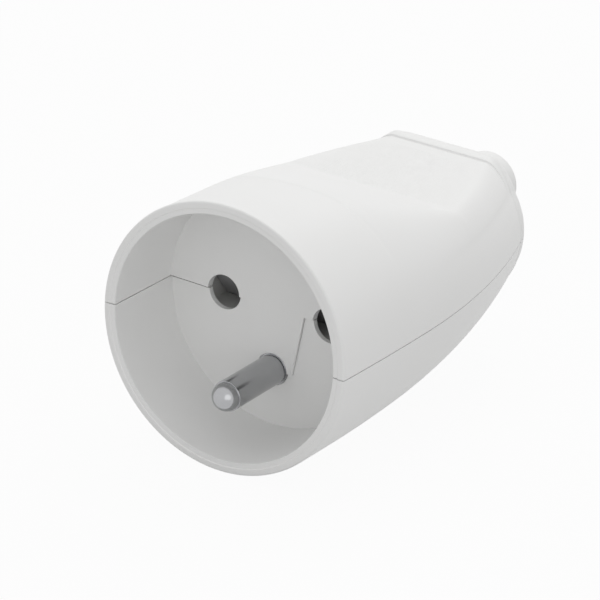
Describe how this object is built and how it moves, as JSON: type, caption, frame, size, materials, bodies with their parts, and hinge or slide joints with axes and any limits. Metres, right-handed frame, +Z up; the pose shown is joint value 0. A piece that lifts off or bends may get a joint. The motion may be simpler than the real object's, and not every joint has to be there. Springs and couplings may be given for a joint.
{
  "type": "inline socket connector",
  "caption": "Handheld inline mains socket: two-part white housing with a round recess, a fixed earth pin, shuttered contacts and a flattened grip that ends in a cord nozzle.",
  "frame": {"origin": "bottom centre of the box around the socket, which lies on its rounded underside", "axes": "+Y runs along the socket axis from the mouth to the cord nozzle, +Z is up with the flat grip on top and the earth pin low"},
  "size_m": [0.0438, 0.0794, 0.0426],
  "materials": {
    "white_plastic": "satin moulded",
    "frame_plastic": "moulded",
    "shutter_plastic": "moulded",
    "contact_brass": "turned",
    "nickel_plate": "satin nickel",
    "spring_steel": "drawn",
    "zinc_steel": "zinc plated"
  },
  "bodies": {
    "housing": {"upper_shell": "white_plastic", "lower_shell": "white_plastic", "upper_face": "white_plastic", "shutter_frame": "frame_plastic", "front_carrier": "frame_plastic", "rear_carrier": "frame_plastic", "shutter_spring": "spring_steel", "contact_left": "contact_brass", "contact_right": "contact_brass", "contact_ring_left": "spring_steel", "contact_ring_right": "spring_steel", "terminal_left": "contact_brass", "terminal_right": "contact_brass", "earth_pin": "nickel_plate", "earth_terminal": "contact_brass", "terminal_screws": "zinc_steel", "cord_clamp": "frame_plastic", "clamp_screws": "zinc_steel", "shell_screws": "zinc_steel"},
    "shutter": {"shutter": "shutter_plastic"}
  },
  "joints": [
    {"name": "shutter_slide", "type": "slide", "parent": "housing", "child": "shutter", "axis": [0, 0, 1], "range_m": [0, 0.006], "stiffness_N_per_m": 150, "springref_m": -0.004, "deforming": ["shutter_spring"]}
  ]
}
